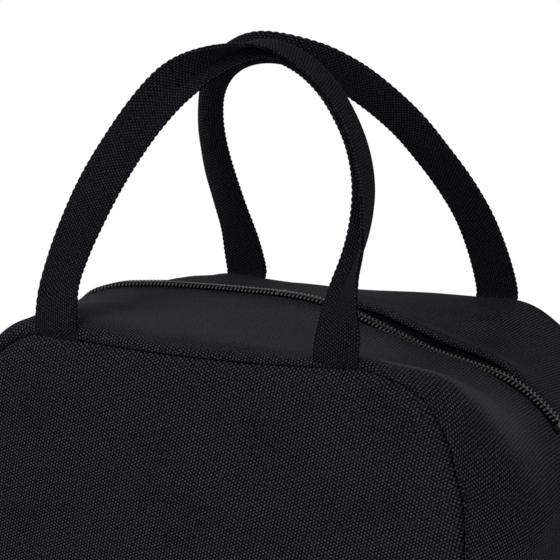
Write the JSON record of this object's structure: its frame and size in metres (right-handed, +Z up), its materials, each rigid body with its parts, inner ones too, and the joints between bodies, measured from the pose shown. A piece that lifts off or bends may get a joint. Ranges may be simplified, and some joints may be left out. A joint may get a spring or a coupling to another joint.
{
  "type": "soft insulated lunch bag",
  "caption": "Black canvas insulated lunch bag with a zip over the top, two webbing carry handles sewn into the front and rear seams, foam walls and a foil-faced lining.",
  "frame": {"origin": "middle of the underside of the base, on the surface it stands on", "axes": "+Z up, the front panel faces -Y, +X to the right when seen from the front"},
  "size_m": [0.2572, 0.1532, 0.3054],
  "materials": {
    "canvas": "coarse plain-weave polyester canvas, matt black",
    "webbing": "ribbed black webbing",
    "foam": "closed-cell polyethylene foam",
    "lining": "silver foil-faced film, lightly creased",
    "board": "plain polyethylene sheet",
    "binding": "folded woven tape",
    "zip_tape": "fine woven tape",
    "zip_coil": "nylon coil, semi-gloss",
    "zip_metal": "black enamelled zinc alloy"
  },
  "bodies": {
    "bag": {"front_panel": "canvas", "rear_panel": "canvas", "front_left_corner_strip": "canvas", "front_right_corner_strip": "canvas", "rear_left_corner_strip": "canvas", "rear_right_corner_strip": "canvas", "left_side_band": "canvas", "right_side_band": "canvas", "base_panel": "canvas", "front_foam": "foam", "rear_foam": "foam", "front_left_corner_foam": "foam", "front_right_corner_foam": "foam", "rear_left_corner_foam": "foam", "rear_right_corner_foam": "foam", "left_side_foam": "foam", "right_side_foam": "foam", "base_foam": "foam", "base_board": "board", "front_lining": "lining", "rear_lining": "lining", "front_left_corner_lining": "lining", "front_right_corner_lining": "lining", "rear_left_corner_lining": "lining", "rear_right_corner_lining": "lining", "left_side_lining": "lining", "right_side_lining": "lining", "base_lining": "lining", "front_seam_binding": "binding", "rear_seam_binding": "binding", "front_handle_ends": "webbing", "rear_handle_ends": "webbing", "front_zip_tape_left": "zip_tape", "front_zip_tape_right": "zip_tape", "rear_zip_tape_left": "zip_tape", "rear_zip_tape_right": "zip_tape", "front_zip_coil_left": "zip_coil", "front_zip_coil_right": "zip_coil", "rear_zip_coil_left": "zip_coil", "rear_zip_coil_right": "zip_coil", "zip_top_stops": "zip_metal", "zip_bottom_stop": "zip_metal"},
    "front_flap": {"front_flap_strip": "canvas", "front_flap_foam": "foam", "front_flap_lining": "lining", "front_zip_tape_top": "zip_tape", "front_zip_coil_top": "zip_coil"},
    "rear_flap": {"rear_flap_strip": "canvas", "rear_flap_foam": "foam", "rear_flap_lining": "lining", "rear_zip_tape_top": "zip_tape", "rear_zip_coil_top": "zip_coil"},
    "front_handle": {"front_handle": "webbing"},
    "rear_handle": {"rear_handle": "webbing"},
    "zip_slider": {"zip_slider_body": "zip_metal"},
    "pull_tab": {"zip_pull_tab": "zip_metal"}
  },
  "joints": [
    {"name": "front_flap_open", "type": "hinge", "parent": "bag", "child": "front_flap", "pos_m": [0, -0.075, 0.19], "axis": [1, 0, 0], "range_deg": [0, 80]},
    {"name": "rear_flap_open", "type": "hinge", "parent": "bag", "child": "rear_flap", "pos_m": [0, 0.075, 0.19], "axis": [-1, 0, 0], "range_deg": [0, 80]},
    {"name": "front_handle_swing", "type": "hinge", "parent": "front_flap", "child": "front_handle", "pos_m": [0, -0.07535, 0.19197], "axis": [1, 0, 0], "range_deg": [0, 105]},
    {"name": "rear_handle_swing", "type": "hinge", "parent": "rear_flap", "child": "rear_handle", "pos_m": [0, 0.07535, 0.19197], "axis": [-1, 0, 0], "range_deg": [0, 105]},
    {"name": "zip_slide", "type": "hinge", "parent": "bag", "child": "zip_slider", "pos_m": [0, 0, 0.0115], "axis": [0, 1, 0], "range_deg": [0, 69.4], "deforming": ["front_zip_coil_left", "front_zip_coil_right", "rear_zip_coil_left", "rear_zip_coil_right", "front_zip_coil_top", "rear_zip_coil_top"]},
    {"name": "pull_tab_swing", "type": "hinge", "parent": "zip_slider", "child": "pull_tab", "pos_m": [-0.11167, 0, 0.17099], "axis": [0, 1, 0], "range_deg": [0, 158]}
  ]
}
